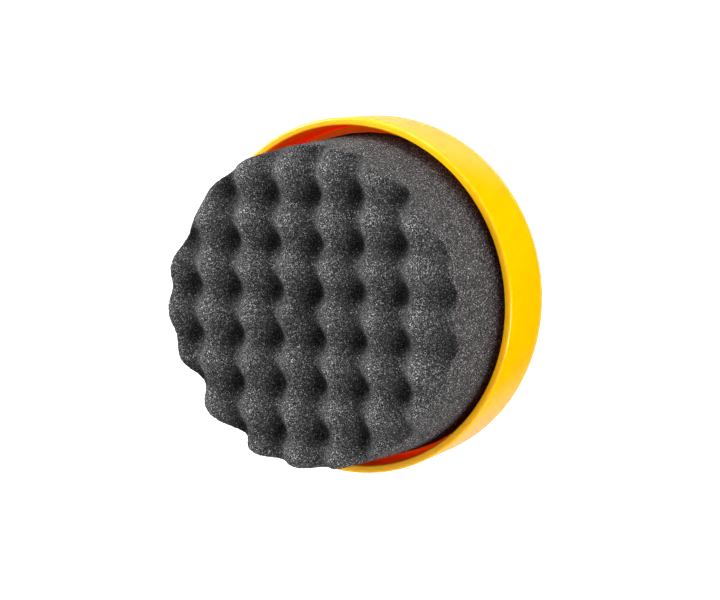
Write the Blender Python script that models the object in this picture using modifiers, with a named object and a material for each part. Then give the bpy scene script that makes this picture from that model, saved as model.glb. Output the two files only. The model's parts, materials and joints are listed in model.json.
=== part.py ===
"""Rotary polishing head: a waffle foam pad held by hook and loop in a round cup, which turns on a
ball bearing in a fixed mounting collar. Metres, +Z up along the spin axis, origin at the centre of
the collar's rear face. The pad's working face points up."""

from math import cos, pi, radians, sin, sqrt

import bpy

# Cup, from its back face up to its lip
CUP_RADIUS = 0.0600           # outer radius at the lip
CUP_DEPTH = 0.0340            # from the lip to the cup's back face
CUP_WALL = 0.0024
CUP_DRAFT = 0.0007            # how far the outer wall leans in by the back corner
CORNER_RADIUS = 0.0130        # outer rounding between the wall and the back
BACK_Z = 0.0080               # back face of the cup, clear of the collar flange
HUB_BORE_RADIUS = 0.0200      # ring on the cup's back that the spindle's flange stands in
HUB_OUTER_RADIUS = 0.0224
HUB_TOP_Z = 0.0130
POST_RADIUS = 0.0032          # posts that carry the tray
PILOT_RADIUS = 0.0014
PILOT_BOTTOM_Z = 0.0128

# Tray, the floor that the pad is held on
TRAY_DEPTH = 0.0170           # from the lip down to the tray's face
TRAY_FLOOR = 0.0030
TRAY_CLEARANCE = 0.0011       # between the tray's edge and the cup's wall
TRAY_BORE_RADIUS = 0.0060
TRAY_BOSS_RADIUS = 0.0180     # thicker middle that sits on the spindle's flange
SKIRT_HEIGHT = 0.0014
SKIRT_WIDTH = 0.0022

# Pad
PAD_BASE_RADIUS = 0.0542
PAD_FACE_RADIUS = 0.0532
PAD_PROUD = 0.0345            # from the lip up to the crests of the working face
PAD_EDGE = 0.0040             # rounding round the working face
HOOK_THICKNESS = 0.0008
HOOK_BORE_RADIUS = 0.0175
HOOK_OUTER_RADIUS = 0.0538
LOOP_THICKNESS = 0.0010
LOOP_RADIUS = 0.0540

# Spindle
SHAFT_RADIUS = 0.00585
SHOULDER_RADIUS = 0.0080      # rests on the bearing's inner race
SPIGOT_RADIUS = 0.0057        # centres the tray
SPIGOT_CHAMFER = 0.0007
SHAFT_CHAMFER = 0.0005
SPINDLE_REAR_Z = 0.0010
SPINDLE_TIP_SUNK = 0.0008     # below the tray's face
FLANGE_Z = 0.0177             # underside of the spindle's flange
FLANGE_TOP_Z = 0.0207
FLANGE_RADIUS = 0.0160
SOCKET_ACROSS_FLATS = 0.0065  # for a quarter-inch hex drive
SOCKET_DEPTH = 0.0140

# Ball bearing, 28 x 12 x 8 mm
BEARING_OUTER_RADIUS = 0.0140
BEARING_BORE_RADIUS = 0.00615
BEARING_WIDTH = 0.0080
BEARING_Z = 0.0070
OUTER_RACE_FACE_RADIUS = 0.0116
INNER_RACE_FACE_RADIUS = 0.0087
BALL_RADIUS = 0.00238
BALL_COUNT = 8
BALL_PITCH_RADIUS = 0.01015
CAGE_RADII = (0.0092, 0.0111)
CAGE_THICKNESS = 0.0005
CAGE_PLAY = 0.0001
SHIELD_RADII = (0.0090, 0.0113)
SHIELD_THICKNESS = 0.0005
SHIELD_INSET = 0.0002

# Circlips
CIRCLIP_THICKNESS = 0.0010
CIRCLIP_OPENING = 0.0030
BEARING_CIRCLIP_RADII = (0.0126, 0.0147)
SPINDLE_CIRCLIP_RADII = (0.0053, 0.0078)
SPINDLE_GROOVE_RADIUS = 0.0051
SPINDLE_GROOVE_WIDTH = 0.0014
COLLAR_GROOVE_WIDTH = 0.0014
COLLAR_GROOVE_DEPTH = 0.0009
CLIP_PLAY = 0.0001

# Mounting collar and its seals
COLLAR_RADIUS = 0.0240
COLLAR_NECK_RADIUS = 0.0175
COLLAR_NECK_TOP_Z = 0.0170
COLLAR_BORE_RADIUS = 0.0110
COLLAR_CHAMFER = 0.0006
RING_GROOVE_BOTTOM_Z = 0.0042
RING_GROOVE_TOP_Z = 0.0064
RING_GROOVE_DEPTH = 0.0012
RING_CORD_RADIUS = 0.0008     # of the rubber ring in that groove
RING_STANDS_IN = 0.00005      # the rubber's centre line, inside the collar's outer face
LUG_COUNT = 3
LUG_SIZE = (0.0060, 0.0090, 0.0028)
LUG_Z = 0.0017
LUG_OFFSET = 0.0005
SEAL_RADII = (0.0178, 0.0197)
SEAL_HEIGHTS = (0.0088, 0.0124)

# Screws
TRAY_SCREW_COUNT = 6
TRAY_SCREW_RING = 0.0440      # radius of the ring of tray screws
TRAY_SCREW_HEAD_RADIUS = 0.0029
TRAY_SCREW_SHANK_RADIUS = 0.0011
TRAY_SCREW_HEAD_HEIGHT = 0.0013
TRAY_SCREW_TIP_Z = 0.0134
FLANGE_SCREW_COUNT = 4
FLANGE_SCREW_RING = 0.0110
FLANGE_SCREW_HEAD_RADIUS = 0.0033
FLANGE_SCREW_SHANK_RADIUS = 0.0017
FLANGE_SCREW_HEAD_HEIGHT = 0.0017
FLANGE_SCREW_TIP_Z = FLANGE_Z + 0.0004
SCREW_SUNK = 0.0001           # head below the tray's face
RECESS_DEPTH = 0.0006         # of the driver recess in a screw's head
HEAD_CHAMFER = 0.0004

GAP = 0.0003                  # between pieces that rest on each other
CLEAR_HOLE = 0.0003           # how much wider a hole is than its screw
CLEAR_SEAT = 0.0004           # how much wider a seat is than its screw's head
OVERCUT = 0.0010              # how far a cutter runs past the face it cuts

# Levels that follow
LIP_Z = BACK_Z + CUP_DEPTH
TRAY_Z = LIP_Z - TRAY_DEPTH
TRAY_UNDERSIDE_Z = TRAY_Z - TRAY_FLOOR
TRAY_BOSS_Z = FLANGE_TOP_Z + GAP
FLOOR_INSIDE_Z = BACK_Z + CUP_WALL
HOOK_Z = TRAY_Z + GAP
LOOP_Z = HOOK_Z + HOOK_THICKNESS + GAP
PAD_Z = LOOP_Z + LOOP_THICKNESS + GAP
PAD_TOP_Z = LIP_Z + PAD_PROUD
BEARING_TOP_Z = BEARING_Z + BEARING_WIDTH
BALL_Z = BEARING_Z + BEARING_WIDTH / 2
BALL_GROOVE_RADIUS = BALL_RADIUS + GAP
COLLAR_FLANGE_Z = BACK_Z - 0.0010
SCREW_TOP_Z = TRAY_Z - SCREW_SUNK

# Steps round a turned piece, and sides of a screw's hole
LARGE, MEDIUM, SMALL, TINY = 48, 40, 24, 12
HOLE_SIDES = 8


def clear_scene():
    for obj in list(bpy.data.objects):
        bpy.data.objects.remove(obj, do_unlink=True)


def new_collection(name):
    collection = bpy.data.collections.new(name)
    bpy.context.scene.collection.children.link(collection)
    return collection


def material(name, colour, roughness, metallic=0.0):
    made = bpy.data.materials.new(name)
    made.use_nodes = True
    shader = made.node_tree.nodes["Principled BSDF"]
    shader.inputs["Base Color"].default_value = (*colour, 1.0)
    shader.inputs["Roughness"].default_value = roughness
    shader.inputs["Metallic"].default_value = metallic
    return made


def arc(radius, height, size, start, end, steps):
    """Points of an arc in the (radius, height) plane. Angles are in degrees from outwards to up."""
    angles = [radians(start + (end - start) * i / steps) for i in range(steps + 1)]
    return [(radius + size * cos(a), height + size * sin(a)) for a in angles]


def place(obj, finish, parent=None):
    """Puts a new object in the parts collection with its material and parent."""
    for collection in list(obj.users_collection):
        collection.objects.unlink(obj)
    parts.objects.link(obj)
    obj.data.materials.clear()
    obj.data.materials.append(finish)
    obj.parent = parent
    return obj


def turned(name, outline, steps, closed=True, smooth_below=40):
    """A turned shape. The outline runs clockwise, down its outer side; an open one ends on the axis."""
    count = len(outline)
    edges = [(i, (i + 1) % count) for i in range(count if closed else count - 1)]
    mesh = bpy.data.meshes.new(name)
    mesh.from_pydata([(r, 0.0, z) for r, z in outline], edges, [])
    obj = bpy.data.objects.new(name, mesh)
    bpy.context.scene.collection.objects.link(obj)
    spin = obj.modifiers.new("Turn", "SCREW")
    spin.axis = "Z"
    spin.angle = 2 * pi
    spin.steps = spin.render_steps = steps
    spin.use_merge_vertices = True
    spin.merge_threshold = 0.00001
    spin.use_smooth_shade = True
    apply_modifiers(obj)
    obj.data.set_sharp_from_angle(angle=radians(smooth_below))
    return obj


def apply_modifiers(obj):
    """Replaces the mesh by what the modifiers make of it."""
    graph = bpy.context.evaluated_depsgraph_get()
    mesh = bpy.data.meshes.new_from_object(obj.evaluated_get(graph))
    obj.modifiers.clear()
    obj.data = mesh
    mesh.name = obj.name


def helper(obj):
    """Keeps a cutter or an added lump out of the model."""
    for collection in list(obj.users_collection):
        collection.objects.unlink(obj)
    helpers.objects.link(obj)
    obj.hide_render = True
    obj.display_type = "WIRE"
    return obj


def combine(obj, other, operation):
    change = obj.modifiers.new(other.name, "BOOLEAN")
    change.operation = operation
    change.solver = "EXACT"
    change.object = other


def cylinder(name, radius, bottom, top, x=0.0, y=0.0, sides=TINY):
    bpy.ops.mesh.primitive_cylinder_add(
        vertices=sides, radius=radius, depth=top - bottom, location=(x, y, (bottom + top) / 2)
    )
    obj = bpy.context.object
    obj.name = name
    return obj


def round_ring(count, ring_radius, start=0.0):
    """Places spaced evenly round the axis, each as (x, y, angle)."""
    angles = [start + 2 * pi * i / count for i in range(count)]
    return [(ring_radius * cos(a), ring_radius * sin(a), a) for a in angles]


def copies_round(name, mesh, count, ring_radius, height, finish, parent):
    """Separate objects that share one mesh, spaced evenly round the Z axis."""
    for number, (x, y, angle) in enumerate(round_ring(count, ring_radius), start=1):
        copy = bpy.data.objects.new(f"{name}_{number}", mesh)
        copy.location = (x, y, height)
        copy.rotation_euler = (0.0, 0.0, angle)
        place(copy, finish, parent)


def mounting_collar(parent):
    """Fixed collar: bearing seat, ring groove and three lugs that lock in the machine's nose."""
    seat = BEARING_OUTER_RADIUS + GAP
    groove_bottom = COLLAR_RADIUS - RING_GROOVE_DEPTH
    clip_groove = BEARING_OUTER_RADIUS + COLLAR_GROOVE_DEPTH
    clip_bottom = BEARING_TOP_Z + CLIP_PLAY
    clip_top = clip_bottom + COLLAR_GROOVE_WIDTH
    outline = [
        (seat, COLLAR_NECK_TOP_Z),
        (COLLAR_NECK_RADIUS, COLLAR_NECK_TOP_Z),
        (COLLAR_NECK_RADIUS, COLLAR_FLANGE_Z),
        (COLLAR_RADIUS, COLLAR_FLANGE_Z),
        (COLLAR_RADIUS, RING_GROOVE_TOP_Z),
        (groove_bottom, RING_GROOVE_TOP_Z),
        (groove_bottom, RING_GROOVE_BOTTOM_Z),
        (COLLAR_RADIUS, RING_GROOVE_BOTTOM_Z),
        (COLLAR_RADIUS, COLLAR_CHAMFER),
        (COLLAR_RADIUS - COLLAR_CHAMFER, 0.0),
        (COLLAR_BORE_RADIUS + COLLAR_CHAMFER, 0.0),
        (COLLAR_BORE_RADIUS, COLLAR_CHAMFER),
        (COLLAR_BORE_RADIUS, BEARING_Z - GAP),
        (seat, BEARING_Z - GAP),
        (seat, clip_bottom),
        (clip_groove, clip_bottom),
        (clip_groove, clip_top),
        (seat, clip_top),
    ]
    collar = turned("mounting_collar", outline, MEDIUM)
    for x, y, angle in round_ring(LUG_COUNT, COLLAR_RADIUS + LUG_OFFSET, start=pi / 6):
        bpy.ops.mesh.primitive_cube_add(
            size=1, location=(x, y, LUG_Z), rotation=(0, 0, angle), scale=LUG_SIZE
        )
        lug = helper(bpy.context.object)
        lug.name = "collar_lug"
        combine(collar, lug, "UNION")
    return place(collar, collar_plastic, parent)


def collar_o_ring(parent):
    """Rubber ring in the collar's groove, which takes up play in the machine's nose."""
    bpy.ops.mesh.primitive_torus_add(
        major_segments=MEDIUM,
        minor_segments=6,
        major_radius=COLLAR_RADIUS - RING_STANDS_IN,
        minor_radius=RING_CORD_RADIUS,
        location=(0, 0, (RING_GROOVE_BOTTOM_Z + RING_GROOVE_TOP_Z) / 2),
    )
    ring = bpy.context.object
    ring.name = "collar_o_ring"
    ring.data.shade_smooth()
    return place(ring, rubber, parent)


def bearing_race(name, face_radius, back_radius, parent):
    """One race of the ball bearing, with its ball groove. The face is the side with the groove."""
    outwards = face_radius < back_radius
    reach = abs(face_radius - BALL_PITCH_RADIUS)
    half_width = sqrt(BALL_GROOVE_RADIUS**2 - reach**2)
    heights = [(-1 + i / 2) * half_width for i in range(5)]
    side = 1 if outwards else -1
    groove = [
        (BALL_PITCH_RADIUS + side * sqrt(BALL_GROOVE_RADIUS**2 - h * h), BALL_Z + h)
        for h in heights
    ]
    bottom, top = BEARING_Z, BEARING_TOP_Z
    if outwards:
        outline = [(face_radius, top), (back_radius, top), (back_radius, bottom), (face_radius, bottom)]
        outline += groove
    else:
        outline = [(back_radius, top), (face_radius, top), *reversed(groove)]
        outline += [(face_radius, bottom), (back_radius, bottom)]
    return place(turned(name, outline, SMALL), bearing_steel, parent)


def bearing_balls(parent):
    bpy.ops.mesh.primitive_uv_sphere_add(segments=8, ring_count=6, radius=BALL_RADIUS)
    ball = helper(bpy.context.object)
    ball.data.shade_smooth()
    copies_round(
        "bearing_ball", ball.data, BALL_COUNT, BALL_PITCH_RADIUS, BALL_Z, bearing_steel, parent
    )


def flat_ring(name, inner, outer, bottom, top, steps, finish, parent):
    outline = [(inner, top), (outer, top), (outer, bottom), (inner, bottom)]
    return place(turned(name, outline, steps), finish, parent)


def bearing_shields(parent):
    """A thin rubber shield in each face of the bearing."""
    rear = BEARING_Z + SHIELD_INSET
    front = BEARING_TOP_Z - SHIELD_INSET - SHIELD_THICKNESS
    for name, bottom in (("bearing_rear_shield", rear), ("bearing_front_shield", front)):
        top = bottom + SHIELD_THICKNESS
        flat_ring(name, *SHIELD_RADII, bottom, top, SMALL, rubber, parent)


def circlip(name, radii, bottom, parent):
    """A spring ring with a gap in it."""
    inner, outer = radii
    top = bottom + CIRCLIP_THICKNESS
    clip = flat_ring(name, inner, outer, bottom, top, SMALL, spring_steel, parent)
    bpy.ops.mesh.primitive_cube_add(
        size=1,
        location=((inner + outer) / 2, 0, (bottom + top) / 2),
        scale=(2 * (outer - inner), CIRCLIP_OPENING, 2 * CIRCLIP_THICKNESS),
    )
    slot = helper(bpy.context.object)
    slot.name = name + "_slot"
    combine(clip, slot, "DIFFERENCE")
    return clip


def drive_spindle(parent):
    """Steel spindle: hex socket at the rear, shaft through the bearing, flange under the tray."""
    groove_top = BEARING_Z - GAP - CLIP_PLAY
    groove_bottom = groove_top - SPINDLE_GROOVE_WIDTH
    tip = TRAY_Z - SPINDLE_TIP_SUNK
    outline = [
        (0.0, tip),
        (SPIGOT_RADIUS - SPIGOT_CHAMFER, tip),
        (SPIGOT_RADIUS, tip - SPIGOT_CHAMFER),
        (SPIGOT_RADIUS, FLANGE_TOP_Z),
        (FLANGE_RADIUS, FLANGE_TOP_Z),
        (FLANGE_RADIUS, FLANGE_Z),
        (SHOULDER_RADIUS, FLANGE_Z),
        (SHOULDER_RADIUS, BEARING_TOP_Z + GAP),
        (SHAFT_RADIUS, BEARING_TOP_Z + GAP),
        (SHAFT_RADIUS, groove_top),
        (SPINDLE_GROOVE_RADIUS, groove_top),
        (SPINDLE_GROOVE_RADIUS, groove_bottom),
        (SHAFT_RADIUS, groove_bottom),
        (SHAFT_RADIUS, SPINDLE_REAR_Z + SHAFT_CHAMFER),
        (SHAFT_RADIUS - SHAFT_CHAMFER, SPINDLE_REAR_Z),
        (0.0, SPINDLE_REAR_Z),
    ]
    spindle = turned("drive_spindle", outline, SMALL, closed=False)
    socket = cylinder(
        "spindle_socket",
        SOCKET_ACROSS_FLATS / sqrt(3),
        SPINDLE_REAR_Z - OVERCUT,
        SPINDLE_REAR_Z + SOCKET_DEPTH,
        sides=6,
    )
    combine(spindle, helper(socket), "DIFFERENCE")
    hole_radius = FLANGE_SCREW_SHANK_RADIUS + CLEAR_HOLE
    for x, y, _ in round_ring(FLANGE_SCREW_COUNT, FLANGE_SCREW_RING):
        hole = cylinder(
            "flange_hole", hole_radius, FLANGE_Z - OVERCUT, FLANGE_TOP_Z + OVERCUT, x, y
        )
        combine(spindle, helper(hole), "DIFFERENCE")
    return place(spindle, spindle_steel, parent)


def cup_shell(parent):
    """The cup: rounded lip, slightly drafted wall, rounded back corner, hub ring and screw posts."""
    lip = CUP_WALL / 2
    corner_r = CUP_RADIUS - CUP_DRAFT - CORNER_RADIUS
    corner_z = BACK_Z + CORNER_RADIUS
    outline = arc(CUP_RADIUS - lip, LIP_Z - lip, lip, 180, 0, 4)
    outline += arc(corner_r, corner_z, CORNER_RADIUS, 0, -90, 5)
    outline += [
        (HUB_BORE_RADIUS, BACK_Z),
        (HUB_BORE_RADIUS, HUB_TOP_Z),
        (HUB_OUTER_RADIUS, HUB_TOP_Z),
        (HUB_OUTER_RADIUS, FLOOR_INSIDE_Z),
    ]
    outline += arc(corner_r, corner_z, CORNER_RADIUS - CUP_WALL, -90, 0, 4)
    shell = turned("cup_shell", outline, LARGE)
    post_bottom = BACK_Z + CUP_WALL / 2
    for x, y, _ in round_ring(TRAY_SCREW_COUNT, TRAY_SCREW_RING):
        post = cylinder("cup_post", POST_RADIUS, post_bottom, TRAY_UNDERSIDE_Z - GAP, x, y)
        combine(shell, helper(post), "UNION")
    pilot_top = TRAY_UNDERSIDE_Z + OVERCUT
    for x, y, _ in round_ring(TRAY_SCREW_COUNT, TRAY_SCREW_RING):
        pilot = cylinder("cup_pilot", PILOT_RADIUS, PILOT_BOTTOM_Z, pilot_top, x, y, HOLE_SIDES)
        combine(shell, helper(pilot), "DIFFERENCE")
    return place(shell, cup_plastic, parent)


def screw_holes(tray, count, ring_radius, shank_radius, head_radius, head_height, bottom):
    """A clear hole and a sunk seat for each screw of a ring."""
    top = TRAY_Z + OVERCUT
    seat_z = SCREW_TOP_Z - head_height - GAP
    for x, y, _ in round_ring(count, ring_radius):
        hole = cylinder("tray_hole", shank_radius + CLEAR_SEAT, bottom, top, x, y, HOLE_SIDES)
        seat = cylinder("tray_seat", head_radius + CLEAR_SEAT, seat_z, top, x, y)
        combine(tray, helper(hole), "DIFFERENCE")
        combine(tray, helper(seat), "DIFFERENCE")


def pad_tray(parent):
    """The floor that the pad is held on: a disc with a skirt, screwed to the cup and the spindle."""
    outer = CUP_RADIUS - CUP_WALL - TRAY_CLEARANCE
    skirt_z = TRAY_UNDERSIDE_Z - SKIRT_HEIGHT
    outline = [
        (TRAY_BORE_RADIUS, TRAY_Z),
        (outer, TRAY_Z),
        (outer, skirt_z),
        (outer - SKIRT_WIDTH, skirt_z),
        (outer - SKIRT_WIDTH, TRAY_UNDERSIDE_Z),
        (TRAY_BOSS_RADIUS, TRAY_UNDERSIDE_Z),
        (TRAY_BOSS_RADIUS, TRAY_BOSS_Z),
        (TRAY_BORE_RADIUS, TRAY_BOSS_Z),
    ]
    tray = turned("pad_tray", outline, LARGE)
    screw_holes(
        tray, TRAY_SCREW_COUNT, TRAY_SCREW_RING, TRAY_SCREW_SHANK_RADIUS,
        TRAY_SCREW_HEAD_RADIUS, TRAY_SCREW_HEAD_HEIGHT, skirt_z,
    )
    screw_holes(
        tray, FLANGE_SCREW_COUNT, FLANGE_SCREW_RING, FLANGE_SCREW_SHANK_RADIUS,
        FLANGE_SCREW_HEAD_RADIUS, FLANGE_SCREW_HEAD_HEIGHT, TRAY_BOSS_Z - OVERCUT,
    )
    return place(tray, tray_plastic, parent)


def screws(name, count, ring_radius, head_radius, head_height, shank_radius, tip, parent):
    """A ring of equal screws, heads up, with a driver recess in each head."""
    top = SCREW_TOP_Z
    seat = top - head_height
    recess_radius = 0.4 * head_radius
    outline = [
        (0.0, top - RECESS_DEPTH),
        (recess_radius, top - RECESS_DEPTH),
        (recess_radius, top),
        (0.8 * head_radius, top),
        (head_radius, top - HEAD_CHAMFER),
        (head_radius, seat),
        (shank_radius, seat),
        (shank_radius, tip + shank_radius),
        (0.0, tip),
    ]
    pattern = helper(turned(name + "_pattern", outline, TINY, closed=False))
    copies_round(name, pattern.data, count, ring_radius, 0.0, screw_steel, parent)


def foam_pad(parent):
    """The foam body at the height of its crests."""
    outline = [
        (0.0, PAD_TOP_Z),
        (PAD_FACE_RADIUS - PAD_EDGE, PAD_TOP_Z),
        (PAD_FACE_RADIUS - 0.0010, PAD_TOP_Z - 0.6 * PAD_EDGE),
        (PAD_FACE_RADIUS, PAD_TOP_Z - 1.6 * PAD_EDGE),
        (PAD_BASE_RADIUS, PAD_Z),
        (0.0, PAD_Z),
    ]
    return place(turned("foam_pad", outline, LARGE, closed=False), foam, parent)


def loop_disc(parent):
    top = LOOP_Z + LOOP_THICKNESS
    outline = [(0.0, top), (LOOP_RADIUS, top), (LOOP_RADIUS, LOOP_Z), (0.0, LOOP_Z)]
    return place(turned("loop_disc", outline, LARGE, closed=False), loop_cloth, parent)


def axis_empty(name, parent=None):
    empty = bpy.data.objects.new(name, None)
    parts.objects.link(empty)
    empty.parent = parent
    return empty


def build():
    collar_axis = axis_empty("collar_axis")
    spin_axis = axis_empty("spin_axis", collar_axis)
    pad_axis = axis_empty("pad_axis", spin_axis)

    mounting_collar(collar_axis)
    collar_o_ring(collar_axis)
    bearing_race("bearing_outer_race", OUTER_RACE_FACE_RADIUS, BEARING_OUTER_RADIUS, collar_axis)
    bearing_shields(collar_axis)
    circlip("bearing_circlip", BEARING_CIRCLIP_RADII, BEARING_TOP_Z + GAP, collar_axis)

    drive_spindle(spin_axis)
    bearing_race("bearing_inner_race", INNER_RACE_FACE_RADIUS, BEARING_BORE_RADIUS, spin_axis)
    bearing_balls(spin_axis)
    cage_z = BALL_Z + BALL_RADIUS + CAGE_PLAY
    cage_top = cage_z + CAGE_THICKNESS
    flat_ring("ball_cage", *CAGE_RADII, cage_z, cage_top, SMALL, cage_nylon, spin_axis)
    clip_z = BEARING_Z - 2 * GAP - CIRCLIP_THICKNESS
    circlip("spindle_circlip", SPINDLE_CIRCLIP_RADII, clip_z, spin_axis)
    cup_shell(spin_axis)
    flat_ring("dust_seal", *SEAL_RADII, *SEAL_HEIGHTS, MEDIUM, felt, spin_axis)
    pad_tray(spin_axis)
    screws(
        "tray_screw", TRAY_SCREW_COUNT, TRAY_SCREW_RING, TRAY_SCREW_HEAD_RADIUS,
        TRAY_SCREW_HEAD_HEIGHT, TRAY_SCREW_SHANK_RADIUS, TRAY_SCREW_TIP_Z, spin_axis,
    )
    screws(
        "flange_screw", FLANGE_SCREW_COUNT, FLANGE_SCREW_RING, FLANGE_SCREW_HEAD_RADIUS,
        FLANGE_SCREW_HEAD_HEIGHT, FLANGE_SCREW_SHANK_RADIUS, FLANGE_SCREW_TIP_Z, spin_axis,
    )
    hook_top = HOOK_Z + HOOK_THICKNESS
    flat_ring(
        "hook_disc", HOOK_BORE_RADIUS, HOOK_OUTER_RADIUS, HOOK_Z, hook_top, LARGE, hook_cloth,
        spin_axis,
    )

    loop_disc(pad_axis)
    foam_pad(pad_axis)


clear_scene()
parts = new_collection("rotary_polishing_head")
helpers = new_collection("cutters_and_lumps")
cup_plastic = material("cup_plastic", (0.95, 0.52, 0.0), 0.22)
tray_plastic = material("tray_plastic", (0.80, 0.20, 0.0), 0.35)
collar_plastic = material("collar_plastic", (0.02, 0.02, 0.022), 0.5)
rubber = material("rubber", (0.01, 0.01, 0.01), 0.7)
bearing_steel = material("bearing_steel", (0.62, 0.62, 0.62), 0.15, 1.0)
spring_steel = material("spring_steel", (0.12, 0.12, 0.13), 0.35, 1.0)
spindle_steel = material("spindle_steel", (0.50, 0.50, 0.50), 0.30, 1.0)
screw_steel = material("screw_steel", (0.55, 0.54, 0.50), 0.28, 1.0)
cage_nylon = material("cage_nylon", (0.55, 0.45, 0.25), 0.45)
felt = material("felt", (0.10, 0.10, 0.10), 0.95)
hook_cloth = material("hook_cloth", (0.015, 0.015, 0.015), 0.8)
loop_cloth = material("loop_cloth", (0.05, 0.05, 0.05), 0.9)
foam = material("foam", (0.06, 0.06, 0.062), 0.9)
build()
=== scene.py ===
import json
from math import cos, pi, radians, sin

import bpy
import numpy as np
from mathutils import Matrix, Vector


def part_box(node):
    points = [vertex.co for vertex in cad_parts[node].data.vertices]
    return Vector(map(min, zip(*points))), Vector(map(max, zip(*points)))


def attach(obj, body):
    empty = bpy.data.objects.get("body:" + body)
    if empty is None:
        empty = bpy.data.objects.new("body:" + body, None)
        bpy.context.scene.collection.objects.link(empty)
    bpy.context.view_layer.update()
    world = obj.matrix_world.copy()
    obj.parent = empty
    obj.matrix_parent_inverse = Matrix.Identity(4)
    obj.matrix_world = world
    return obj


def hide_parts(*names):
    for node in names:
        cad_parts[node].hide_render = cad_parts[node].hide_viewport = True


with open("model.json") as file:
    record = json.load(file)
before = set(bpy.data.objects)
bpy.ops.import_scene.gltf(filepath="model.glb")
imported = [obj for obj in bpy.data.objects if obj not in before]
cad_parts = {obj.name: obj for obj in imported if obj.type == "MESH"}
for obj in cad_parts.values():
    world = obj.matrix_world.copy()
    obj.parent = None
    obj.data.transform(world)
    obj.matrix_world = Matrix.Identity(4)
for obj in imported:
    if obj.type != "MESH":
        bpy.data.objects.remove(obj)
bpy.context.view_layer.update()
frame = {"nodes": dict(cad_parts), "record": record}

# Places and sizes read from the frame, in metres
CUP_LOW, CUP_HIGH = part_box("cup_shell")
TRAY_LOW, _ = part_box("pad_tray")
FOAM_LOW, FOAM_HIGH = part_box("foam_pad")
_, HOOK_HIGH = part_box("hook_disc")
LOOP_LOW, LOOP_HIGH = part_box("loop_disc")
LIP_Z = CUP_HIGH.z
CUP_BACK_Z = CUP_LOW.z
CUP_RADIUS = CUP_HIGH.x
PAD_RADIUS = FOAM_HIGH.x

# Cup
WALL = 0.0026
DRAFT = 0.0007
CORNER = 0.0130
LIP_INNER, LIP_OUTER = 0.0005, 0.0009   # rounding of the lip's two edges
HUB_BORE, HUB_OUTER, HUB_TOP = 0.0200, 0.0224, 0.0130
POST_RADIUS, PILOT_RADIUS = 0.0032, 0.0014
POST_TOP = TRAY_LOW.z + 0.0010
POST_ROOT = 0.0005           # how far a post reaches into the cup's floor
PILOT_BOTTOM = 0.0128
CUP_SEGMENTS, POST_SEGMENTS = 256, 32
TRAY_SCREWS = 6
PLASTIC_TRAVEL = (1.0, 0.30, 0.04)      # how far red, green and blue light go in the plastic, in proportion

# Hook and loop between the tray and the pad
HOOK_BORE = 0.0175
PILE_STEP = 0.0015           # from one hook or loop to the next
PILE_JITTER = 0.2            # share of the step by which each one strays
PILE_HEIGHT = 0.00036
PILE_ROOT = 0.0001           # how far a strand reaches into its cloth
PILE_SPREAD = 0.5            # radians by which the strands' headings differ
STRAND_RADIUS = 0.00006
STRAND_SIDES = 3

# Waffle face: pits on a square lattice, with taller ridges along Y than along X
PITCH = 0.01569
PIT_OFFSET_X = 0.19 * PITCH
PIT_OFFSET_Y = 0.31 * PITCH
WAFFLE_DEPTH = 0.0095
RIDGE_SHARE = 0.62           # of the depth, from the wave along X
PIT_SHARPNESS = 1.3          # above 1, pits are narrower than crests
WANDER = 0.00028             # slow unevenness of the cut
PIT_PAINTED_SHADE = 1.3       # painted shade: how much darker the foam is coloured down in the pits

# Foam pad. It is pressed on a little off centre, and leans.
FOOT_RADIUS = PAD_RADIUS + 0.0002
FACE_RADIUS = PAD_RADIUS - 0.0012
FACE_X, FACE_Y = 0.0004, -0.0004
FOOT_X, FOOT_Y = 0.0004, -0.0009
RIM_ROUND = 0.0009
RIM_LEANS = (25, 50, 75)     # degrees from flat, of the rings that round the rim
ROLL_DROP, ROLL_WIDTH = 0.0024, 0.0080  # how the face sinks towards its rim
FOOT_BEVEL_IN, FOOT_BEVEL_UP = 0.0006, 0.0004
GRAIN = 0.00012              # how far the cut cells stand off the smooth form
FOAM_SEGMENTS = 540
FACE_RING_STEP = 0.0006
SIDE_RINGS, BACK_RINGS = 62, 12
BACK_INNERMOST = 0.004       # radius of the last ring on the back

# Cut struts that stand off the foam
STRUT_COUNT = 32000
STRUT_LENGTHS = (0.00018, 0.00042)
STRUT_RADIUS = 0.00006
STRUT_SCATTER = 0.0003       # how far a strut strays from the mesh point it starts at
STRUT_ROOT = 0.0001          # how far it reaches into the foam
STRUT_LEAN = 0.45            # how far struts lean away from square
STRUT_FREE_FOOT = 0.0006     # height above the foam's back that carries no struts


# ---------------------------------------------------------------- meshes


def mesh_object(name, vertices, faces, smooth=True, sharp_from=None):
    """A new object. Edges that turn by more than sharp_from degrees stay sharp."""
    mesh = bpy.data.meshes.new(name)
    mesh.from_pydata(vertices, [], faces)
    mesh.update()
    if smooth:
        mesh.shade_smooth()
    if sharp_from is not None:
        mesh.set_sharp_from_angle(angle=radians(sharp_from))
    obj = bpy.data.objects.new(name, mesh)
    bpy.context.scene.collection.objects.link(obj)
    return obj


def arc(radius, height, size, start, end, steps):
    """Places on an arc round (radius, height), from one angle to another in degrees."""
    angles = [radians(start + (end - start) * i / steps) for i in range(steps + 1)]
    return [(radius + size * cos(a), height + size * sin(a)) for a in angles]


def add_attribute(piece, name, values):
    """Gives a mesh one number at each point, for its material to read."""
    attribute = piece.data.attributes.new(name, "FLOAT", "POINT")
    attribute.data.foreach_set("value", np.asarray(values, dtype=np.float32))


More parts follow.
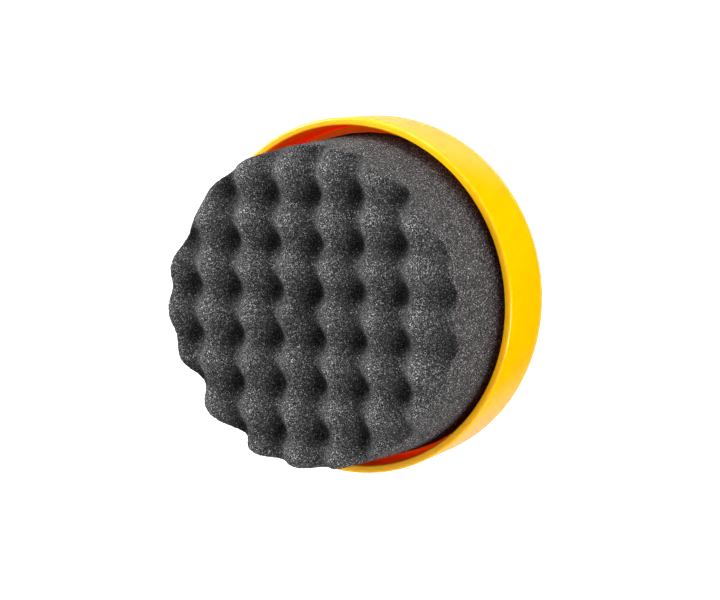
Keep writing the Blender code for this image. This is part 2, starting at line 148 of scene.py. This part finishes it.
def turned(outline, segments, closed=True, centre=(0.0, 0.0), start=0):
    """Vertices and faces of a turned form. The outline runs clockwise in the (radius, height) plane."""
    angles = 2 * pi * np.arange(segments) / segments
    vertices, faces, rows = [], [], []
    for radius, height in outline:
        first = start + len(vertices)
        if radius < 1e-9:
            rows.append([first])
            vertices.append((*centre, height))
            continue
        rows.append(list(range(first, first + segments)))
        vertices += [(centre[0] + radius * cos(a), centre[1] + radius * sin(a), height) for a in angles]
    pairs = zip(rows, rows[1:] + rows[:1]) if closed else zip(rows, rows[1:])
    for upper, lower in pairs:
        for i in range(segments):
            j = (i + 1) % segments
            if len(upper) == 1:
                faces.append((upper[0], lower[i], lower[j]))
            elif len(lower) == 1:
                faces.append((upper[i], lower[0], upper[j]))
            else:
                faces.append((upper[i], lower[i], lower[j], upper[j]))
    return vertices, faces


def waffle_depth(x, y):
    """How deep the foam's face lies below its crests, from 0 at a crest to 1 in a pit."""
    along_x = 1 + np.cos(2 * pi * (x - PIT_OFFSET_X) / PITCH)
    along_y = 1 + np.cos(2 * pi * (y - PIT_OFFSET_Y) / PITCH)
    wave = RIDGE_SHARE * along_x + (1 - RIDGE_SHARE) * along_y
    return (wave / 2) ** PIT_SHARPNESS


def wander(x, y):
    """The slow unevenness of a cut foam face, in metres: waves about 80 mm and 25 mm long."""
    slow = np.sin(x * 71 + 1.3) * np.sin(y * 83 + 0.4) + 0.6 * np.sin(x * 190 - y * 160 + 2.0)
    return WANDER * slow


def foam_ring(points, cavity, side):
    """One ring of the foam: its points, how deep in a pit each lies, and how far each faces sideways."""
    spread = np.ones(FOAM_SEGMENTS)
    return np.stack(points, 1), cavity * spread, side * spread


def foam_face_height(x, y, radius):
    """Height of the foam's face, and how deep in a pit it lies there."""
    depth = waffle_depth(x + wander(y, x), y + wander(x, y))
    roll = ROLL_DROP * max(0.0, 1 - (FACE_RADIUS - radius) / ROLL_WIDTH) ** 2
    crest_z = FOAM_HIGH.z - GRAIN
    return crest_z - WAFFLE_DEPTH * depth - np.abs(wander(x, y)) - roll, depth


def foam_face_rings(cos_a, sin_a):
    """The waffle and its rounded rim, from the middle outwards."""
    flat_radius = FACE_RADIUS - RIM_ROUND
    flat_radii = np.linspace(0, flat_radius, int(flat_radius / FACE_RING_STEP))[1:]
    stations = [(radius, 0.0) for radius in flat_radii]
    stations += [(flat_radius + RIM_ROUND * np.sin(lean), lean) for lean in np.radians(RIM_LEANS)]
    rings = []
    for radius, lean in stations:
        x, y = radius * cos_a + FACE_X, radius * sin_a + FACE_Y
        height, depth = foam_face_height(x, y, radius)
        height = height - RIM_ROUND * (1 - np.cos(lean))
        rings.append(foam_ring((x, y, height), depth * np.cos(lean), np.sin(lean) ** 2))
    return rings


def foam_side_rings(cos_a, sin_a):
    """The flared side, from the face's rim down to the foot."""
    rim_height, _ = foam_face_height(FACE_RADIUS * cos_a + FACE_X, FACE_RADIUS * sin_a + FACE_Y, FACE_RADIUS)
    rim_height = rim_height - RIM_ROUND
    foot_z = FOAM_LOW.z + FOOT_BEVEL_UP
    rings = []
    for share in np.linspace(0, 1, SIDE_RINGS + 1):
        radius = FACE_RADIUS + (FOOT_RADIUS - GRAIN - FACE_RADIUS) * share
        x = radius * cos_a + FACE_X + (FOOT_X - FACE_X) * share
        y = radius * sin_a + FACE_Y + (FOOT_Y - FACE_Y) * share
        height = rim_height + (foot_z - rim_height) * share
        rings.append(foam_ring((x, y, height), 0.0, 1.0))
    return rings


def foam_back_rings(cos_a, sin_a):
    """The flat back, from the foot inwards."""
    flat = np.full(FOAM_SEGMENTS, FOAM_LOW.z)
    radii = np.linspace(FOOT_RADIUS - FOOT_BEVEL_IN, BACK_INNERMOST, BACK_RINGS)
    return [foam_ring((r * cos_a + FOOT_X, r * sin_a + FOOT_Y, flat), 0.0, 1.0) for r in radii]


def foam_faces(ring_count):
    """Quads between the rings, and a fan at each end."""
    def index(ring, i):
        return 1 + ring * FOAM_SEGMENTS + i % FOAM_SEGMENTS

    last = 1 + ring_count * FOAM_SEGMENTS
    faces = []
    for i in range(FOAM_SEGMENTS):
        faces.append((0, index(0, i), index(0, i + 1)))
        faces.append((last, index(ring_count - 1, i + 1), index(ring_count - 1, i)))
    for ring in range(ring_count - 1):
        for i in range(FOAM_SEGMENTS):
            faces.append((index(ring, i), index(ring + 1, i), index(ring + 1, i + 1), index(ring, i + 1)))
    return faces


def foam_piece():
    """The foam pad: waffle face, rounded rim, slightly flared side and flat back."""
    random = np.random.default_rng(11)
    angles = 2 * pi * np.arange(FOAM_SEGMENTS) / FOAM_SEGMENTS
    cos_a, sin_a = np.cos(angles), np.sin(angles)
    rings = foam_face_rings(cos_a, sin_a) + foam_side_rings(cos_a, sin_a)
    for points, _, _ in rings:
        points += random.uniform(-GRAIN, GRAIN, points.shape)
    rings += foam_back_rings(cos_a, sin_a)

    centre_depth = float(waffle_depth(FACE_X, FACE_Y))
    centre = [FACE_X, FACE_Y, FOAM_HIGH.z - GRAIN - WAFFLE_DEPTH * centre_depth]
    back = [FOOT_X, FOOT_Y, FOAM_LOW.z]
    rows, cavity, side = zip(*rings)
    vertices = np.concatenate([[centre], *rows, [back]])
    piece = mesh_object("foam", vertices.tolist(), foam_faces(len(rings)))
    add_attribute(piece, "cavity", np.concatenate([[centre_depth], *cavity, [0.0]]))
    add_attribute(piece, "side", np.concatenate([[0.0], *side, [1.0]]))
    return piece


def read_attribute(mesh, name):
    values = np.empty(len(mesh.vertices), dtype=np.float32)
    mesh.attributes[name].data.foreach_get("value", values)
    return values


def strut_piece(foam):
    """Short cut struts of the foam's cells, each a slim closed pyramid on the foam's surface."""
    random = np.random.default_rng(5)
    mesh = foam.data
    places = np.empty((len(mesh.vertices), 3), dtype=np.float32)
    mesh.vertices.foreach_get("co", places.ravel())
    normals = np.empty_like(places)
    mesh.vertex_normals.foreach_get("vector", normals.ravel())
    cavity, side = read_attribute(mesh, "cavity"), read_attribute(mesh, "side")
    weight = np.hypot(places[:, 0], places[:, 1])
    weight[places[:, 2] < FOAM_LOW.z + STRUT_FREE_FOOT] = 0
    chosen = random.choice(len(places), STRUT_COUNT, p=weight / weight.sum())
    root = places[chosen] + random.uniform(-STRUT_SCATTER, STRUT_SCATTER, (STRUT_COUNT, 3))
    root -= normals[chosen] * STRUT_ROOT
    way = normals[chosen] + random.normal(0, STRUT_LEAN, (STRUT_COUNT, 3))
    way /= np.linalg.norm(way, axis=1)[:, None]
    across = np.cross(way, random.normal(0, 1, (STRUT_COUNT, 3)))
    across /= np.linalg.norm(across, axis=1)[:, None]
    other = np.cross(way, across)
    length = random.uniform(*STRUT_LENGTHS, (STRUT_COUNT, 1))
    corners = []
    for turn in (0, 2 * pi / 3, 4 * pi / 3):
        corners.append(root + STRUT_RADIUS * (cos(turn) * across + sin(turn) * other))
    corners.append(root + way * (length + STRUT_ROOT))
    vertices = np.stack(corners, 1).reshape(-1, 3)
    faces = []
    for first in range(0, 4 * STRUT_COUNT, 4):
        a, b, c, tip = range(first, first + 4)
        faces += [(a, c, b), (a, b, tip), (b, c, tip), (c, a, tip)]
    piece = mesh_object("foam_struts", vertices.tolist(), faces, smooth=False)
    add_attribute(piece, "cavity", np.repeat(cavity[chosen], 4))
    add_attribute(piece, "side", np.repeat(side[chosen], 4))
    return piece


def cup_piece():
    """The cup with its rounded lip, rounded back corner, hub and six screw posts."""
    corner_r = CUP_RADIUS - DRAFT - CORNER
    corner_z = CUP_BACK_Z + CORNER
    floor_z = CUP_BACK_Z + WALL
    outside = arc(CUP_RADIUS - WALL + LIP_INNER, LIP_Z - LIP_INNER, LIP_INNER, 120, 90, 3)
    outside += arc(CUP_RADIUS - LIP_OUTER, LIP_Z - LIP_OUTER, LIP_OUTER, 90, 0, 7)
    outside += arc(corner_r, corner_z, CORNER, 0, -90, 16)
    outside += [(HUB_BORE, CUP_BACK_Z)]
    inside = [(HUB_BORE, HUB_TOP), (HUB_OUTER, HUB_TOP), (HUB_OUTER, floor_z)]
    inside += arc(corner_r, corner_z, CORNER - WALL, -90, 0, 12)
    inside += arc(CUP_RADIUS - WALL + LIP_INNER, LIP_Z - LIP_INNER, LIP_INNER, 180, 150, 2)
    vertices, faces = turned(outside + inside, CUP_SEGMENTS)
    depth_in = [0.0] * (CUP_SEGMENTS * len(outside)) + [1.0] * (CUP_SEGMENTS * len(inside))
    post = [(0, PILOT_BOTTOM), (PILOT_RADIUS, PILOT_BOTTOM), (PILOT_RADIUS, POST_TOP)]
    post += [(POST_RADIUS, POST_TOP), (POST_RADIUS, floor_z - POST_ROOT), (0, floor_z - POST_ROOT)]
    for number in range(1, TRAY_SCREWS + 1):
        low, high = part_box(f"tray_screw_{number}")
        middle = ((low.x + high.x) / 2, (low.y + high.y) / 2)
        more, more_faces = turned(post, POST_SEGMENTS, closed=False, centre=middle, start=len(vertices))
        vertices += more
        faces += more_faces
        depth_in += [1.0] * len(more)
    piece = mesh_object("cup", vertices, faces, sharp_from=35)
    add_attribute(piece, "inside", depth_in)
    return piece


def strand_form(strand):
    """Points and faces of one closed strand, with each of its rings square to the way it runs."""
    along = np.gradient(np.array(strand), axis=0)
    along /= np.linalg.norm(along, axis=1)[:, None]
    points = []
    for (sideways, up), (run, rise) in zip(strand, along):
        for turn in 2 * pi * np.arange(STRAND_SIDES) / STRAND_SIDES:
            across = STRAND_RADIUS * cos(turn)
            points.append((sideways + across * rise, STRAND_RADIUS * sin(turn), up - across * run))
    last = STRAND_SIDES * (len(strand) - 1)
    faces = [tuple(range(STRAND_SIDES))[::-1], tuple(range(last, last + STRAND_SIDES))]
    for ring in range(len(strand) - 1):
        for i in range(STRAND_SIDES):
            a = ring * STRAND_SIDES + i
            b = ring * STRAND_SIDES + (i + 1) % STRAND_SIDES
            faces.append((a, b, b + STRAND_SIDES, a + STRAND_SIDES))
    return np.array(points), faces


def pile_piece(name, strand, inner, outer, seed):
    """A field of bent strands on a ring. The strand is a list of (sideways, up) places in metres."""
    random = np.random.default_rng(seed)
    form, form_faces = strand_form(strand)
    ticks = np.arange(-outer, outer, PILE_STEP)
    x, y = (grid.ravel() for grid in np.meshgrid(ticks, ticks))
    x = x + random.uniform(-PILE_JITTER, PILE_JITTER, x.size) * PILE_STEP
    y = y + random.uniform(-PILE_JITTER, PILE_JITTER, y.size) * PILE_STEP
    kept = (np.hypot(x, y) < outer - PILE_STEP) & (np.hypot(x, y) > inner + PILE_STEP / 2)
    x, y = x[kept], y[kept]
    heading = random.choice([0.0, pi], x.size) + random.uniform(-PILE_SPREAD, PILE_SPREAD, x.size)
    vertices, faces = [], []
    for px, py, turn in zip(x, y, heading):
        start = len(vertices)
        spun = form @ np.array([[cos(turn), sin(turn), 0], [-sin(turn), cos(turn), 0], [0, 0, 1]])
        vertices += (spun + (px, py, 0)).tolist()
        faces += [tuple(start + i for i in face) for face in form_faces]
    return mesh_object(name, vertices, faces)


def hook_pile():
    """Hooks that stand up from the hook disc, outside its open centre."""
    base = HOOK_HIGH.z - PILE_ROOT
    curl = [(0, 0), (0, 0.5), (0.1, 0.85), (0.32, 1.0), (0.5, 0.78)]
    strand = [(PILE_HEIGHT * side, base + PILE_HEIGHT * up) for side, up in curl]
    return pile_piece("hook_pile", strand, HOOK_BORE, HOOK_HIGH.x, 21)


def loop_pile():
    """Loops that hang from the loop disc."""
    base = LOOP_LOW.z + PILE_ROOT
    bow = [(0.3, 0), (0.42, -0.5), (0.0, -0.95), (-0.42, -0.5), (-0.3, 0)]
    strand = [(PILE_HEIGHT * side, base + PILE_HEIGHT * up) for side, up in bow]
    return pile_piece("loop_pile", strand, 0.0, LOOP_HIGH.x, 22)


# ------------------------------------------------------------- materials


class Graph:
    """Builds one material: a Principled shader and the nodes that feed it."""

    def __init__(self, name, **values):
        self.material = bpy.data.materials.new(name)
        self.material.use_nodes = True
        self.tree = self.material.node_tree
        self.shader = self.tree.nodes["Principled BSDF"]
        for key, value in values.items():
            self.shader.inputs[key.replace("_", " ")].default_value = value

    def node(self, kind, inputs=None, **settings):
        made = self.tree.nodes.new(kind)
        for key, value in settings.items():
            setattr(made, key, value)
        for key, value in (inputs or {}).items():
            self.feed(made, key, value)
        return made

    def feed(self, node, key, value):
        socket = node.inputs[key]
        if isinstance(value, bpy.types.NodeSocket):
            self.tree.links.new(value, socket)
        else:
            socket.default_value = value

    def place(self):
        """Object coordinates in millimetres."""
        where = self.node("ShaderNodeTexCoord").outputs["Object"]
        return self.node(
            "ShaderNodeVectorMath", {0: where, 1: (1000, 1000, 1000)}, operation="MULTIPLY"
        ).outputs[0]

    def parts(self, where):
        return self.node("ShaderNodeSeparateXYZ", {"Vector": where}).outputs

    def cells(self, where, scale):
        """Random cells: the distance from each cell's middle, and three chance values a cell."""
        made = self.node("ShaderNodeTexVoronoi", {"Vector": where, "Scale": scale}, feature="F1")
        chance = self.node("ShaderNodeSeparateColor", {"Color": made.outputs["Color"]}).outputs
        return made.outputs["Distance"], chance

    def radius(self, where):
        """Distance from the spin axis, and height, of a place in millimetres."""
        parts = self.parts(where)
        squares = (self.math("MULTIPLY", parts[i], parts[i]) for i in (0, 1))
        return self.math("SQRT", self.math("ADD", *squares)), parts[2]

    def noise(self, where, scale, detail, roughness=0.5):
        return self.node(
            "ShaderNodeTexNoise",
            {"Vector": where, "Scale": scale, "Detail": detail, "Roughness": roughness},
        ).outputs["Fac"]

    def ranged(self, value, low, high, to_low=0.0, to_high=1.0):
        return self.node(
            "ShaderNodeMapRange",
            {"Value": value, "From Min": low, "From Max": high, "To Min": to_low, "To Max": to_high},
            interpolation_type="SMOOTHSTEP",
        ).outputs["Result"]

    def math(self, operation, a, b=0.0):
        return self.node("ShaderNodeMath", {0: a, 1: b}, operation=operation).outputs[0]

    def mix(self, share, a, b, blend="MIX"):
        made = self.node("ShaderNodeMix", data_type="RGBA", blend_type=blend)
        self.feed(made, "Factor", share)
        for key, value in ((6, a), (7, b)):
            self.feed(made, key, value if not isinstance(value, tuple) else (*value, 1.0))
        return made.outputs[2]

    def attribute(self, name):
        """A number that the mesh carries at each point."""
        return self.node("ShaderNodeAttribute", attribute_name=name).outputs["Fac"]

    def bump(self, height, strength, distance):
        inputs = {"Height": height, "Strength": strength, "Distance": distance}
        return self.node("ShaderNodeBump", inputs).outputs["Normal"]

    def set(self, **links):
        for key, value in links.items():
            self.feed(self.shader, key.replace("_", " "), value)
        return self.material


def foam_material():
    """Open-cell foam: each cell is a dark pore or a lit strut, with painted glints on a few cells, painted
    shade in the pits and a painted darker, warmer side.
    """
    pore_colour, strut_colour = (0.018, 0.018, 0.0185), (0.345, 0.345, 0.35)
    painted_glint_colour = (0.85, 0.85, 0.87)
    # Painted shade: the side is coloured darker and warmer than the face, for how light falls on it beside
    # the orange cup.
    face_tone, side_painted_tone = (1.0, 0.985, 1.0), (0.66, 0.615, 0.61)
    cells_per_mm = 4.6
    g = Graph("foam", Roughness=0.85)
    g.shader.inputs["Specular IOR Level"].default_value = 0.2
    where = g.place()
    distance, chance = g.cells(where, cells_per_mm)
    lit = g.math("POWER", chance[0], 4.0)
    # Painted highlights: a few cells are coloured near white as glints, fewer in the pits and on the side.
    glint = g.ranged(chance[1], 0.955, 0.985)
    mottle = g.ranged(g.noise(where, 0.7, 3.0), 0.3, 0.7, 0.88, 1.12)
    side = g.attribute("side")
    # Painted shade: the colour darkens with depth in a pit, where little light reaches.
    shade = g.math("EXPONENT", g.math("MULTIPLY", g.attribute("cavity"), -PIT_PAINTED_SHADE))
    tone = g.mix(side, face_tone, side_painted_tone)
    tinted = g.mix(1.0, g.mix(lit, pore_colour, strut_colour), tone, "MULTIPLY")
    pore = g.ranged(distance, 0.15, 0.85, 0.3, 1.6)
    strength = g.math("MULTIPLY", g.math("MULTIPLY", shade, mottle), pore)
    varied = g.node("ShaderNodeVectorMath", {0: tinted, "Scale": strength}, operation="SCALE").outputs[0]
    glinting = g.math("MULTIPLY", glint, g.math("MULTIPLY", shade, g.ranged(side, 0.0, 1.0, 1.0, 0.8)))
    height = g.math("ADD", chance[0], distance)
    return g.set(Base_Color=g.mix(glinting, varied, painted_glint_colour), Normal=g.bump(height, 0.6, 0.0002))


def cup_material():
    """Glossy yellow plastic that lets some light through, which turns deep orange on its way. Its inside is
    also painted orange, redder deeper in the cup, and the top of its lip is painted paler.
    """
    wall_colour, painted_lip_light = (0.985, 0.44, 0.0), (0.985, 0.52, 0.0)
    painted_glow_colour, painted_deep_orange = (0.98, 0.36, 0.0), (0.95, 0.19, 0.0)
    outer_depth, inner_depth = 0.003, 0.006
    g = Graph("cup_plastic", Roughness=0.22, Subsurface_Weight=1.0)
    g.shader.inputs["Subsurface Radius"].default_value = PLASTIC_TRAVEL
    where = g.place()
    _, z = g.radius(where)
    lip_mm = LIP_Z * 1000
    # Painted light: the inside is coloured orange, and redder from 6 mm to 17 mm below the lip, standing in
    # for light through the wall and between its faces.
    glow_deepens_from, glow_deepens_to = lip_mm - 17, lip_mm - 6
    # Painted light: the top of the lip is coloured paler, to make up for the pad's shadow on it.
    lip_light_from, lip_light_to = lip_mm - 1.4, lip_mm - 0.2
    inside = g.attribute("inside")
    inner = g.mix(g.ranged(z, glow_deepens_from, glow_deepens_to, 1.0, 0.0), painted_glow_colour, painted_deep_orange)
    outer = g.mix(g.ranged(z, lip_light_from, lip_light_to), wall_colour, painted_lip_light)
    through = g.ranged(inside, 0.0, 1.0, outer_depth, inner_depth)
    rough = g.ranged(g.noise(where, 0.15, 4.0), 0.3, 0.7, 0.17, 0.25)
    normal = g.bump(g.noise(where, 6.0, 3.0), 0.05, 0.0001)
    colour = g.mix(inside, outer, inner)
    return g.set(Base_Color=colour, Subsurface_Scale=through, Roughness=rough, Normal=normal)


def tray_material():
    """The same plastic, deep in the cup, painted a deeper orange and given a painted glow: it emits faint
    red light though it is no lamp, standing in for light led in through its edge.
    """
    painted_deep_orange, pale_colour = (0.99, 0.27, 0.0), (0.99, 0.33, 0.0)
    g = Graph("tray_plastic", Roughness=0.5, Subsurface_Weight=1.0, Subsurface_Scale=0.01)
    g.shader.inputs["Specular IOR Level"].default_value = 0.3
    g.shader.inputs["Subsurface Radius"].default_value = PLASTIC_TRAVEL
    # Painted glow: the tray emits red-orange light, though it is no lamp.
    g.shader.inputs["Emission Color"].default_value = (1.0, 0.08, 0.0, 1.0)
    g.shader.inputs["Emission Strength"].default_value = 0.20
    where = g.place()
    grain = g.noise(where, 6.0, 3.0)
    colour = g.mix(g.ranged(g.noise(where, 0.2, 3.0), 0.3, 0.7), painted_deep_orange, pale_colour)
    return g.set(Base_Color=colour, Normal=g.bump(grain, 0.05, 0.0001))


def moulded(name, colour, roughness, grain, depth):
    """Matt moulded plastic or rubber: fine grain, with slow changes of shine and tone."""
    g = Graph(name)
    where = g.place()
    speck = g.noise(where, grain, 5.0, 0.65)
    slow = g.noise(where, 0.12, 3.0)
    dull = tuple(0.72 * c + 0.004 for c in colour)
    shade = g.mix(g.ranged(slow, 0.3, 0.7), dull, colour)
    fleck = tuple(min(1.0, 1.8 * c) for c in colour)
    flecked = g.mix(g.ranged(speck, 0.55, 0.8, 0.0, 0.35), shade, fleck)
    rough = g.ranged(slow, 0.3, 0.7, roughness - 0.07, roughness + 0.07)
    return g.set(Base_Color=flecked, Roughness=rough, Normal=g.bump(speck, depth, 0.0001))


def machined(name, colour, roughness, rings=9.0, tint=(1.0, 1.0, 1.0)):
    """Turned metal: fine rings round the spin axis, with slow stains."""
    g = Graph(name, Metallic=1.0)
    where = g.place()
    radius, z = g.radius(where)
    ring_place = g.node("ShaderNodeCombineXYZ", {"X": g.math("MULTIPLY", radius, rings)})
    g.feed(ring_place, "Y", g.math("MULTIPLY", z, rings))
    lines = g.noise(ring_place.outputs[0], 1.0, 3.0, 0.6)
    stain = g.noise(where, 0.35, 4.0)
    tinted = tuple(c * t for c, t in zip(colour, tint))
    shade = g.mix(g.ranged(stain, 0.35, 0.7), colour, tinted)
    lined = g.mix(g.ranged(lines, 0.3, 0.7, 0.0, 0.25), shade, tuple(0.6 * c for c in colour))
    rough = g.ranged(stain, 0.3, 0.7, roughness - 0.06, roughness + 0.08)
    return g.set(Base_Color=lined, Roughness=rough, Normal=g.bump(lines, 0.25, 0.00005))


def coated_steel(name, dark, light, roughness, metallic):
    """Steel with a mottled crystalline coat, such as phosphate or zinc."""
    g = Graph(name, Metallic=metallic)
    where = g.place()
    _, chance = g.cells(where, 5.0)
    cloud = g.noise(where, 0.8, 4.0)
    share = g.math("ADD", g.math("MULTIPLY", chance[0], 0.4), g.ranged(cloud, 0.3, 0.7, 0.0, 0.6))
    rough = g.ranged(cloud, 0.3, 0.7, roughness + 0.08, roughness - 0.05)
    normal = g.bump(chance[0], 0.1, 0.00005)
    return g.set(Base_Color=g.mix(share, dark, light), Roughness=rough, Normal=normal)


def felt_material():
    """Pressed wool: short fibres that lie every way."""
    g = Graph("felt", Roughness=0.95, Sheen_Weight=0.3)
    g.shader.inputs["Sheen Tint"].default_value = (0.7, 0.7, 0.72, 1.0)
    where = g.place()
    fibres = []
    for stretch in ((9, 1.2, 2), (1.2, 9, 2), (5, 5, 0.8)):
        laid = g.node("ShaderNodeVectorMath", {0: where, 1: stretch}, operation="MULTIPLY").outputs[0]
        fibres.append(g.noise(laid, 0.8, 3.0, 0.7))
    height = g.math("MAXIMUM", g.math("MAXIMUM", fibres[0], fibres[1]), fibres[2])
    shade = g.mix(g.ranged(height, 0.45, 0.75), (0.035, 0.035, 0.037), (0.17, 0.168, 0.165))
    return g.set(Base_Color=shade, Normal=g.bump(height, 0.8, 0.0003))


def woven(name, dark, light, threads, roughness):
    """A woven backing: threads crossing on a fine square lattice, so many to the millimetre."""
    g = Graph(name, Roughness=roughness)
    where = g.place()
    parts = g.parts(where)
    waves = [g.math("SINE", g.math("MULTIPLY", parts[i], 2 * pi * threads)) for i in (0, 1)]
    height = g.ranged(g.math("MULTIPLY", *waves), -1.0, 1.0)
    fibre = g.noise(where, 7.0, 3.0)
    share = g.math("MULTIPLY", height, g.ranged(fibre, 0.3, 0.7, 0.4, 1.0))
    return g.set(Base_Color=g.mix(share, dark, light), Normal=g.bump(height, 0.5, 0.0003))


SLOT_MATERIALS = {
    "foam": foam_material(),
    "cup_plastic": cup_material(),
    "tray_plastic": tray_material(),
    "collar_plastic": moulded("collar_plastic", (0.024, 0.024, 0.026), 0.42, 3.5, 0.8),
    "rubber": moulded("rubber", (0.012, 0.012, 0.012), 0.55, 9.0, 0.15),
    "bearing_steel": machined("bearing_steel", (0.62, 0.62, 0.62), 0.20),
    "spring_steel": coated_steel("spring_steel", (0.05, 0.05, 0.052), (0.13, 0.13, 0.135), 0.42, 0.8),
    "spindle_steel": machined("spindle_steel", (0.50, 0.50, 0.50), 0.30, 5.0, (0.95, 0.92, 0.88)),
    "screw_steel": coated_steel("screw_steel", (0.50, 0.51, 0.53), (0.66, 0.65, 0.60), 0.28, 1.0),
    "cage_nylon": moulded("cage_nylon", (0.55, 0.45, 0.25), 0.45, 6.0, 0.15),
    "felt": felt_material(),
    "hook_cloth": woven("hook_cloth", (0.008, 0.008, 0.009), (0.05, 0.05, 0.053), 1.1, 0.6),
    "loop_cloth": woven("loop_cloth", (0.02, 0.02, 0.021), (0.11, 0.11, 0.112), 1.6, 0.9),
}

for part in frame["record"]["subparts"]:
    node = frame["nodes"][part["node"]]
    node.data.materials.clear()
    node.data.materials.append(SLOT_MATERIALS[part["material_slot"]])


def add_piece(piece, body, slot, *replaced):
    """Hands a piece to the frame: the body it rides, its material and the nodes it stands for."""
    piece.data.materials.append(SLOT_MATERIALS[slot])
    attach(piece, body)
    if replaced:
        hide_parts(*replaced)
    return piece


foam = add_piece(foam_piece(), "pad", "foam", "foam_pad")
add_piece(strut_piece(foam), "pad", "foam")
add_piece(cup_piece(), "head", "cup_plastic", "cup_shell")
add_piece(hook_pile(), "head", "hook_cloth")
add_piece(loop_pile(), "pad", "loop_cloth")


# ---------------------------------------------------- stage, lights, camera

# The camera's own axes in the object's frame. It looks down into the cup from the +X side.
CAMERA_RIGHT = Vector((0.8673, -0.0275, -0.4970)).normalized()
CAMERA_BACK = Vector((0.4962, 0.1261, 0.8590)).normalized()
CAMERA_DISTANCE = 0.93125
CAMERA_SHIFT_RIGHT = 0.0030
CAMERA_SHIFT_UP = -0.00113
CAMERA_LENS = 139.25

# Each light's name, direction from the target, size and power
LIGHTS = (
    ("key", (-0.80, 0.50, 0.70), 0.45, 11.5),
    ("side", (0.93, -0.33, 0.50), 0.40, 5.0),
    ("top", (0.10, 1.0, 0.25), 0.40, 4.6),
)
LIGHT_TARGET = Vector((0, 0, 0.04))
LIGHT_DISTANCE = 1.0
FLOOR_SIZE, FLOOR_DROP = 8, 0.0002   # a hair below the collar, so that their faces don't meet
FLOOR_GLOW = 0.75
SKY_GLOW = 0.56
BELOW_GLOW = 0.62
BELOW_FADE = (-0.06, 0.18)           # where the glow from below fades out, as a direction along X


def add_camera():
    data = bpy.data.cameras.new("camera")
    data.lens = CAMERA_LENS
    data.sensor_width = 36.0
    data.clip_start = 0.01
    camera = bpy.data.objects.new("camera", data)
    bpy.context.scene.collection.objects.link(camera)
    up = CAMERA_BACK.cross(CAMERA_RIGHT).normalized()
    right = up.cross(CAMERA_BACK).normalized()
    axes = Matrix((right, up, CAMERA_BACK)).transposed().to_4x4()
    target = Vector((0, 0, LIP_Z))
    place = target + CAMERA_SHIFT_RIGHT * right + CAMERA_SHIFT_UP * up + CAMERA_DISTANCE * CAMERA_BACK
    camera.matrix_world = Matrix.Translation(place) @ axes
    bpy.context.scene.camera = camera


def add_light(name, direction, size, power):
    data = bpy.data.lights.new(name, "AREA")
    data.shape = "DISK"
    data.size = size
    data.energy = power
    light = bpy.data.objects.new(name, data)
    bpy.context.scene.collection.objects.link(light)
    way = Vector(direction).normalized()
    light.location = LIGHT_TARGET + way * LIGHT_DISTANCE
    light.rotation_euler = way.to_track_quat("Z", "Y").to_euler()


def add_stage():
    """A white floor, clear from below so that the underside can be seen."""
    bpy.ops.mesh.primitive_plane_add(size=FLOOR_SIZE, location=(0, 0, -FLOOR_DROP))
    floor = bpy.context.object
    floor.name = "floor"
    g = Graph("floor", Base_Color=(0.9, 0.9, 0.9, 1), Roughness=0.9)
    g.shader.inputs["Specular IOR Level"].default_value = 0.0
    g.shader.inputs["Emission Color"].default_value = (1, 1, 1, 1)
    g.shader.inputs["Emission Strength"].default_value = FLOOR_GLOW
    output = g.tree.nodes["Material Output"]
    clear = g.node("ShaderNodeBsdfTransparent").outputs[0]
    below = g.node("ShaderNodeNewGeometry").outputs["Backfacing"]
    one_sided = g.node("ShaderNodeMixShader", {0: below, 1: g.shader.outputs[0], 2: clear})
    g.tree.links.new(one_sided.outputs[0], output.inputs["Surface"])
    floor.data.materials.append(g.material)
    floor.visible_glossy = False


def add_world():
    """Even pale light. Reflections pass the floor and see it below the horizon: pale to -X, dark to +X."""
    world = bpy.data.worlds.new("studio")
    world.use_nodes = True
    tree = world.node_tree
    background = tree.nodes["Background"]
    background.inputs["Color"].default_value = (1, 1, 1, 1)
    direction = tree.nodes.new("ShaderNodeTexCoord").outputs["Generated"]
    parts = tree.nodes.new("ShaderNodeSeparateXYZ")
    tree.links.new(direction, parts.inputs[0])
    sweep = tree.nodes.new("ShaderNodeMapRange")
    sweep.interpolation_type = "SMOOTHSTEP"
    fade_start, fade_end = BELOW_FADE
    fade = {"From Min": fade_start, "From Max": fade_end, "To Min": BELOW_GLOW, "To Max": 0.0}
    for key, value in fade.items():
        sweep.inputs[key].default_value = value
    tree.links.new(parts.outputs[0], sweep.inputs["Value"])
    above = tree.nodes.new("ShaderNodeMath")
    above.operation = "GREATER_THAN"
    above.inputs[1].default_value = 0.0
    tree.links.new(parts.outputs[2], above.inputs[0])
    strength = tree.nodes.new("ShaderNodeMix")
    tree.links.new(above.outputs[0], strength.inputs["Factor"])
    tree.links.new(sweep.outputs["Result"], strength.inputs["A"])
    strength.inputs["B"].default_value = SKY_GLOW
    tree.links.new(strength.outputs["Result"], background.inputs["Strength"])
    bpy.context.scene.world = world


add_stage()
add_world()
for light in LIGHTS:
    add_light(*light)
add_camera()
bpy.context.scene.view_settings.view_transform = "Standard"
